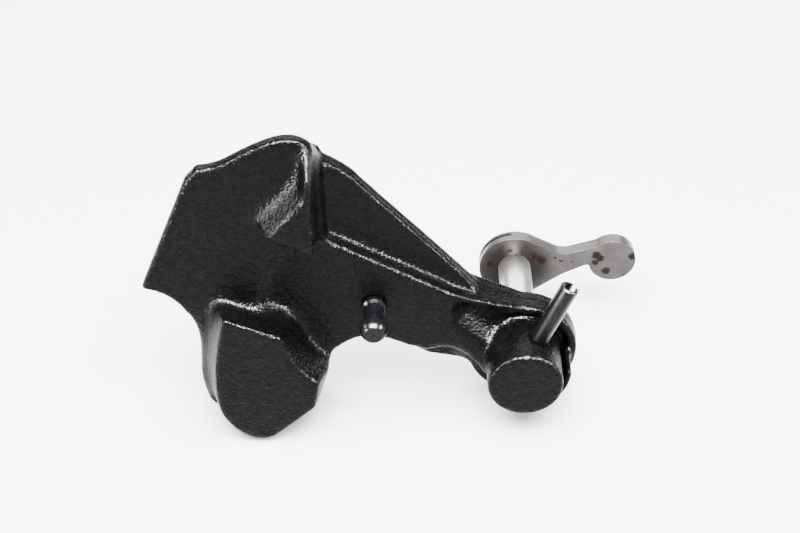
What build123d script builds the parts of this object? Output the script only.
"""Counterweighted selector lever of a manual gearbox, with its shaft, finger and pin.

Units are millimetres. The shaft runs along Y and its axis is the line X = 0, Z = 0.
The origin is on that axis, where the rear face of the lever's hub meets the shaft's
shoulder. The lever lies in front of it (-Y) and the selector finger behind it (+Y).

The lever is laid out on planes square to the shaft. A height is the distance of such
a plane in front of the hub's rear face, so the height h is the plane Y = -h.
"""
import os
from math import cos, radians, sin, sqrt

from build123d import *

os.makedirs("parts", exist_ok=True)

# ------------------------------------------------------------------ driving sizes
# Heights of the lever's faces
REAR_PLATE = 2.0          # rear face of the arm's web
RING_FACE = 10.2          # front face of the hub's ring
POCKET_FLOOR = 8.5        # floor of the triangular pocket in the arm
ARM_FACE = 14.5           # raised face of the arm, and rear face of the wing
WING_FACE = 19.5          # front face of the wing
TRIANGLE_ROOT = 18.5      # where the three-sided boss starts inside the wing
TRIANGLE_FACE = 27.5      # front of the three-sided boss on the wing
BOSS_FACE = 29.0          # closed front end of the hub's boss
WEIGHT_FACE = 32.0        # front face of the counterweight block

# Hub, shaft and cross pin
BOSS_RADIUS = 13.0
RING_RADIUS = 19.0
GROOVE_RADIUS = 15.8      # outer wall of the groove round the foot of the boss
GROOVE_DEPTH = 3.0
JOURNAL_RADIUS = 6.0      # the shaft where it turns in the gearbox
SEAT_RADIUS = 5.5         # the shaft's end inside the hub
SEAT_LENGTH = 22.0
SEAT_CLEARANCE = 0.04     # radial
BORE_DEPTH = 24.0
PIN_RADIUS = 3.2          # the slotted pin's free radius
PIN_WALL = 1.1
PIN_LENGTH = 30.0
PIN_CLEARANCE = 0.05      # radial
PIN_HEIGHT = 17.4
PIN_TILT = 22.3           # degrees from +Z towards +X
PIN_OUTER_END = 36.5      # from the shaft's axis, with the pin only started
PIN_SLOT = 2.0
PIN_SLOT_TURN = 128.0     # degrees round the pin, from -Y
PIN_CHAMFER = 0.5

# Ball stud for the cable end
BALL_RADIUS = 4.75
BALL_FLAT_RADIUS = 3.1
STUD_X = -51.4
STUD_Z = 23.6
BALL_HEIGHT = 26.7
NECK_RADIUS = 3.4
COLLAR_RADIUS = 4.1
COLLAR_HEIGHT = 1.8       # how far the collar stands off the arm
RIVET_RADIUS = 3.5
RIVET_HEAD_RADIUS = 5.0
RIVET_HEAD_FLAT = 4.0     # radius of the flat on the riveted head

# Selector finger
FINGER_FRONT = 38.2       # Y of its front face
FINGER_THICKNESS = 5.0
BIG_END_RADIUS = 13.0
DISC_X = 36.2
DISC_Z = 3.1
DISC_RADIUS = 8.75
TENON_RADIUS = 5.0        # the shaft's end that is riveted in the finger

FRONT = Plane.XZ          # its normal is -Y, so offsets are heights


def level(height):
    """The plane at a height in front of the hub's rear face."""
    return FRONT.offset(height)


# ------------------------------------------------------------------ lever casting
# An outline lies on a plane square to the shaft, as a ring of stretches from point to
# point in (X, Z). A stretch of one point is a straight line to it, and a stretch of more
# is a smooth curve through them. The last point of the last stretch is where it starts.
WING_OUTLINE = [
    [(-128.2, 34.4)], [(-110.6, 77.0)], [(-106.6, 81.2)],
    [(-98.6, 83.2), (-92.7, 86.6), (-86.5, 89.8), (-77.0, 92.3), (-70.6, 89.4)],
    [(-70.4, 60.0)], [(-79.0, 52.5), (-83.0, 47.0), (-88.4, 32.9)],
    [(-89.0, 20.0)], [(-96.0, -12.0)], [(-106.5, -17.3)],
    [(-110.9, -8.8), (-111.2, 1.2), (-110.8, 12.8), (-112.2, 19.7), (-118.7, 29.9),
     (-126.5, 33.6)],
]
CORE_OUTLINE = [
    [(-100.0, 34.0)], [(-96.0, 64.0), (-86.0, 77.0), (-74.0, 82.5)], [(-68.2, 80.0)],
    [(-67.0, 50.0)], [(-84.0, 8.0)], [(-100.0, 12.0)],
]
WEB_OUTLINE = [
    [(-70.0, 78.6)], [(-63.5, 75.3), (-58.0, 71.2)], [(-47.4, 59.6), (-31.8, 43.1), (-16.5, 26.2)],
    [(-8.0, 8.0)], [(-18.3, -5.3)], [(-33.2, -2.5)], [(-60.0, 12.0)], [(-75.0, 40.0)],
]
ARM_OUTLINE = [
    [(-74.0, 54.3)], [(-29.2, 30.5)], [(-24.5, 27.8), (-12.8, 22.9), (0.0, 18.9)],
    [(0.0, -7.4)], [(-13.0, -7.4)], [(-18.7, 0.4), (-23.5, 3.5), (-28.7, 4.4)],
    [(-33.2, 2.3)], [(-44.8, 7.8), (-54.0, 9.6), (-62.0, 6.2), (-68.0, -2.0)],
    [(-90.0, 6.0)], [(-90.0, 40.0)],
]
# The pad that fairs the ring into the arm, at the hub's rear face and at the ring's face
PAD_REAR = [
    [(0.0, 19.0)], [(-8.2, 22.6), (-20.0, 27.8)], [(-25.0, 22.0)], [(-24.0, 0.0)],
    [(-18.2, -5.5)], [(0.0, -18.0)],
]
PAD_FRONT = [
    [(0.0, 18.9)], [(-6.4, 20.8), (-19.5, 25.2)], [(-25.0, 22.0)], [(-24.0, 0.0)],
    [(-18.2, -5.5)], [(0.0, -18.0)],
]
WEIGHT_FRONT = [
    [(-99.9, 31.2)], [(-81.6, 23.4)], [(-79.8, 17.0), (-76.5, 10.6), (-69.8, 4.0)],
    [(-71.4, -7.0)], [(-84.0, -18.9)], [(-90.6, -21.6), (-97.6, -18.3), (-103.4, -9.0)],
    [(-104.4, 2.0), (-103.4, 14.0), (-101.3, 26.0)],
]
WEIGHT_FOOT = [
    [(-104.2, 30.6)], [(-80.4, 22.0)], [(-77.6, 16.6), (-73.4, 9.0), (-66.4, 1.6)],
    [(-70.2, -12.0)], [(-84.2, -21.0)], [(-90.6, -23.2), (-98.8, -19.6), (-107.4, -10.0)],
    [(-108.4, 2.0), (-107.6, 14.0), (-105.8, 26.0)],
]
TRIANGLE_FRONT = [[(-84.9, 60.1)], [(-70.4, 76.6)], [(-70.2, 53.6)]]
TRIANGLE_FOOT = [[(-90.4, 62.9)], [(-71.0, 83.4)], [(-70.2, 51.6)]]
RIDGE_FRONT = [[(-77.0, 92.2)], [(-72.2, 91.2), (-69.9, 88.5)], [(-70.2, 52.0)], [(-77.0, 52.0)]]
RIDGE_FOOT = [[(-77.0, 86.0)], [(-71.0, 85.2), (-68.3, 81.8)], [(-66.4, 49.0)], [(-77.0, 48.0)]]
# The rib that climbs along the wing's right edge to the three-sided boss, as (height, Z)
RIB_PROFILE = [(14.5, 89.0), (19.5, 89.4), (22.0, 86.8), (27.0, 81.2), (27.5, 76.6), (27.5, 53.6),
               (14.5, 51.6)]
RIB_LEFT = -72.9
RIB_RIGHT = -70.2
SCOOP_MOUTH = [
    [(-25.6, 18.6)], [(-24.6, 25.6)], [(-13.0, 21.4)], [(0.0, 17.0)], [(0.0, 6.0)],
    [(-8.5, 3.3)], [(-15.2, 8.2), (-21.5, 13.2), (-25.0, 17.0)],
]
SCOOP_FLOOR = [
    [(-19.5, 20.0)], [(-18.5, 22.2)], [(-13.0, 20.6)], [(0.0, 16.6)], [(0.0, 8.0)],
    [(-7.5, 8.0)], [(-11.0, 12.0), (-15.0, 15.8), (-18.4, 18.2)],
]
SCOOP_FLOOR_HEIGHT = 8.6
RIM_SLOPE_START = -26.0   # X where the arm's upper rim starts to fall towards the ring
RIM_SLOPE_END = 0.5
RIM_SLOPE_FOOT = 13.5     # Z below which the arm's face stays level
GROOVE_START = -70.0      # degrees from +X towards +Z
GROOVE_SWEEP = 185.0
TAB_START = -40.0
TAB_SWEEP = 44.0
TAB_INNER = 14.3
TAB_OUTER = 16.3
TAB_FACE = 22.8


def section(outline, height):
    """The face inside an outline at a height."""
    with BuildSketch(level(height), mode=Mode.PRIVATE) as face:
        with BuildLine():
            start = outline[-1][-1]
            for stretch in outline:
                if len(stretch) == 1:
                    Line(start, stretch[0])
                else:
                    Spline(start, *stretch)
                start = stretch[-1]
        make_face()
    return face.sketch


def prism(outline, low, high):
    """A straight body of an outline between two heights."""
    with BuildPart(mode=Mode.PRIVATE) as body:
        extrude(section(outline, low), amount=high - low)
    return body.part


def tapered(foot, front, low, high):
    """A ruled body from one outline at a low height to another at a high one."""
    with BuildPart(mode=Mode.PRIVATE) as body:
        loft([section(foot, low), section(front, high)], ruled=True)
    return body.part


with BuildPart() as lever_casting:
    # The raised arm, whose upper rim falls back to the face of the hub's ring
    add(prism(ARM_OUTLINE, REAR_PLATE, ARM_FACE))
    with BuildSketch(Plane.XY.offset(RIM_SLOPE_FOOT)):
        with BuildLine():
            Polyline((RIM_SLOPE_START, -ARM_FACE), (RIM_SLOPE_END, -RING_FACE),
                     (RIM_SLOPE_END, -BOSS_FACE), (RIM_SLOPE_START, -BOSS_FACE), close=True)
        make_face()
    extrude(amount=RING_RADIUS, mode=Mode.SUBTRACT)
    # The hub's ring
    with BuildSketch(FRONT):
        Circle(RING_RADIUS)
    extrude(amount=RING_FACE)
    add(tapered(PAD_REAR, PAD_FRONT, 0.0, RING_FACE))
    # The scoop that clears the cross pin's tool, then the groove round the boss
    add(tapered(SCOOP_FLOOR, SCOOP_MOUTH, SCOOP_FLOOR_HEIGHT, ARM_FACE), mode=Mode.SUBTRACT)
    with BuildSketch(level(RING_FACE - GROOVE_DEPTH)):
        with BuildLine():
            groove_arc = CenterArc((0, 0), GROOVE_RADIUS, GROOVE_START, GROOVE_SWEEP)
            Line(groove_arc @ 1, (0, 0))
            Line((0, 0), groove_arc @ 0)
        make_face()
    extrude(amount=BOSS_FACE, mode=Mode.SUBTRACT)
    with BuildSketch(FRONT):
        Circle(BOSS_RADIUS)
    extrude(amount=BOSS_FACE)
    # The web behind the pocket, the wing and the core behind it
    add(prism(WEB_OUTLINE, REAR_PLATE, POCKET_FLOOR))
    add(prism(CORE_OUTLINE, REAR_PLATE, ARM_FACE))
    add(prism(WING_OUTLINE, ARM_FACE, WING_FACE))
    add(tapered(RIDGE_FOOT, RIDGE_FRONT, POCKET_FLOOR, WING_FACE))
    add(tapered(TRIANGLE_FOOT, TRIANGLE_FRONT, TRIANGLE_ROOT, TRIANGLE_FACE))
    with BuildSketch(Plane.YZ.offset(RIB_LEFT)):
        with BuildLine():
            Polyline(*((-height, z) for height, z in RIB_PROFILE), close=True)
        make_face()
    extrude(amount=RIB_RIGHT - RIB_LEFT)
    # The counterweight block
    add(prism(WEIGHT_FOOT, REAR_PLATE, WING_FACE))
    add(tapered(WEIGHT_FOOT, WEIGHT_FRONT, WING_FACE, WEIGHT_FACE))
    # The tab beside the boss
    with BuildSketch(level(REAR_PLATE)):
        with BuildLine():
            inner = CenterArc((0, 0), TAB_INNER, TAB_START, TAB_SWEEP)
            outer = CenterArc((0, 0), TAB_OUTER, TAB_START, TAB_SWEEP)
            Line(inner @ 0, outer @ 0)
            Line(inner @ 1, outer @ 1)
        make_face()
    extrude(amount=TAB_FACE - REAR_PLATE)
    # Bore for the shaft
    with BuildSketch(FRONT):
        Circle(SEAT_RADIUS + SEAT_CLEARANCE)
    extrude(amount=BORE_DEPTH, mode=Mode.SUBTRACT)

PIN_DIRECTION = Vector(sin(radians(PIN_TILT)), 0, cos(radians(PIN_TILT)))
PIN_CENTRE = Vector(0, -PIN_HEIGHT, 0)


def across_pin(distance):
    """The plane square to the pin at a distance from the shaft's axis."""
    return Plane(origin=PIN_CENTRE + PIN_DIRECTION * distance, x_dir=(0, -1, 0), z_dir=PIN_DIRECTION)


with lever_casting:
    # Cross hole for the pin, and the hole for the stud
    with BuildSketch(across_pin(-PIN_LENGTH / 2)):
        Circle(PIN_RADIUS + PIN_CLEARANCE)
    extrude(amount=PIN_LENGTH, mode=Mode.SUBTRACT)
    with BuildSketch(FRONT):
        with Locations((STUD_X, STUD_Z)):
            Circle(RIVET_RADIUS)
    extrude(amount=BOSS_FACE, mode=Mode.SUBTRACT)

# ------------------------------------------------------------------ ball stud
# A turned profile of (radius, height): riveted head, shank, collar, neck and ball
BALL_BACK = sqrt(BALL_RADIUS**2 - NECK_RADIUS**2)
BALL_FRONT = sqrt(BALL_RADIUS**2 - BALL_FLAT_RADIUS**2)
BALL_FLAT_HEIGHT = BALL_HEIGHT + BALL_FRONT
COLLAR_FACE = ARM_FACE + COLLAR_HEIGHT
COLLAR_FALL = 0.5         # slope of the collar's front down to the neck
DIMPLE_RADIUS = 0.8
DIMPLE_DEPTH = 0.5
RIVET_REAR = 0.8

stud_plane = Plane(origin=(STUD_X, 0, STUD_Z), x_dir=(1, 0, 0), z_dir=(0, 0, 1))
with BuildPart() as ball_stud:
    with BuildSketch(stud_plane):
        with BuildLine():
            Polyline((0, -RIVET_REAR), (RIVET_HEAD_FLAT, -RIVET_REAR),
                     (RIVET_HEAD_RADIUS, -REAR_PLATE), (RIVET_RADIUS, -REAR_PLATE),
                     (RIVET_RADIUS, -ARM_FACE), (COLLAR_RADIUS, -ARM_FACE),
                     (COLLAR_RADIUS, -COLLAR_FACE), (NECK_RADIUS, -COLLAR_FACE - COLLAR_FALL),
                     (NECK_RADIUS, -BALL_HEIGHT + BALL_BACK))
            ThreePointArc((NECK_RADIUS, -BALL_HEIGHT + BALL_BACK), (BALL_RADIUS, -BALL_HEIGHT),
                          (BALL_FLAT_RADIUS, -BALL_FLAT_HEIGHT))
            Polyline((BALL_FLAT_RADIUS, -BALL_FLAT_HEIGHT), (DIMPLE_RADIUS, -BALL_FLAT_HEIGHT),
                     (0, DIMPLE_DEPTH - BALL_FLAT_HEIGHT), (0, -RIVET_REAR))
        make_face()
    revolve(axis=Axis((STUD_X, 0, STUD_Z), (0, 1, 0)))

# ------------------------------------------------------------------ spring pin
with BuildPart() as spring_pin:
    with BuildSketch(across_pin(PIN_OUTER_END - PIN_LENGTH)):
        Circle(PIN_RADIUS)
        Circle(PIN_RADIUS - PIN_WALL, mode=Mode.SUBTRACT)
        with Locations(Location((0, 0, 0), (0, 0, PIN_SLOT_TURN))):
            Rectangle(2 * PIN_RADIUS, PIN_SLOT, align=(Align.MIN, Align.CENTER), mode=Mode.SUBTRACT)
    extrude(amount=PIN_LENGTH)
    round_edges = spring_pin.edges().filter_by(GeomType.CIRCLE)
    chamfer(round_edges.filter_by(lambda edge: edge.radius == PIN_RADIUS), PIN_CHAMFER)

# ------------------------------------------------------------------ selector shaft
with BuildPart() as selector_shaft:
    with BuildSketch(FRONT):
        Circle(SEAT_RADIUS)
    extrude(amount=SEAT_LENGTH)
    with BuildSketch(FRONT):
        Circle(JOURNAL_RADIUS)
    extrude(amount=-FINGER_FRONT)
    with BuildSketch(level(-FINGER_FRONT)):
        Circle(TENON_RADIUS)
    extrude(amount=-FINGER_THICKNESS)
    with BuildSketch(across_pin(-BOSS_RADIUS)):
        Circle(PIN_RADIUS + PIN_CLEARANCE)
    extrude(amount=2 * BOSS_RADIUS, mode=Mode.SUBTRACT)

# ------------------------------------------------------------------ selector finger
NECK_OUTLINE = [
    (5.8, 11.6), (17.6, 5.6), (31.0, 9.8), (33.0, 1.5), (26.0, 1.0), (17.8, -3.2), (8.0, -10.2),
]
NECK_TOP_FILLET = 8.0
RIM_GROOVE_START = 96.0
RIM_GROOVE_SWEEP = 72.0
RIM_GROOVE_DEPTH = 1.2
RIM_GROOVE_FRONT = 2.6    # behind the finger's front face
RIM_GROOVE_WIDTH = 1.5
RIM_GROOVE_OUTER = 14.0   # clear of the big end's rim

with BuildPart() as selector_finger:
    with BuildSketch(level(-FINGER_FRONT)) as finger_face:
        with BuildLine():
            Polyline(*NECK_OUTLINE, close=True)
        make_face()
        fillet(finger_face.vertices().sort_by(Axis.X)[2], NECK_TOP_FILLET)
        Circle(BIG_END_RADIUS)
        with Locations((DISC_X, DISC_Z)):
            Circle(DISC_RADIUS)
        Circle(TENON_RADIUS, mode=Mode.SUBTRACT)
    extrude(amount=-FINGER_THICKNESS)
    with BuildSketch(level(-FINGER_FRONT - RIM_GROOVE_FRONT)):
        with BuildLine():
            wall = CenterArc((0, 0), BIG_END_RADIUS - RIM_GROOVE_DEPTH, RIM_GROOVE_START,
                             RIM_GROOVE_SWEEP)
            rim = CenterArc((0, 0), RIM_GROOVE_OUTER, RIM_GROOVE_START, RIM_GROOVE_SWEEP)
            Line(wall @ 0, rim @ 0)
            Line(wall @ 1, rim @ 1)
        make_face()
    extrude(amount=-RIM_GROOVE_WIDTH, mode=Mode.SUBTRACT)

for piece, name in ((lever_casting, "lever_casting"), (ball_stud, "ball_stud"),
                    (spring_pin, "spring_pin"), (selector_shaft, "selector_shaft"),
                    (selector_finger, "selector_finger")):
    piece.part.label = name
    export_step(piece.part, f"parts/{name}.step")
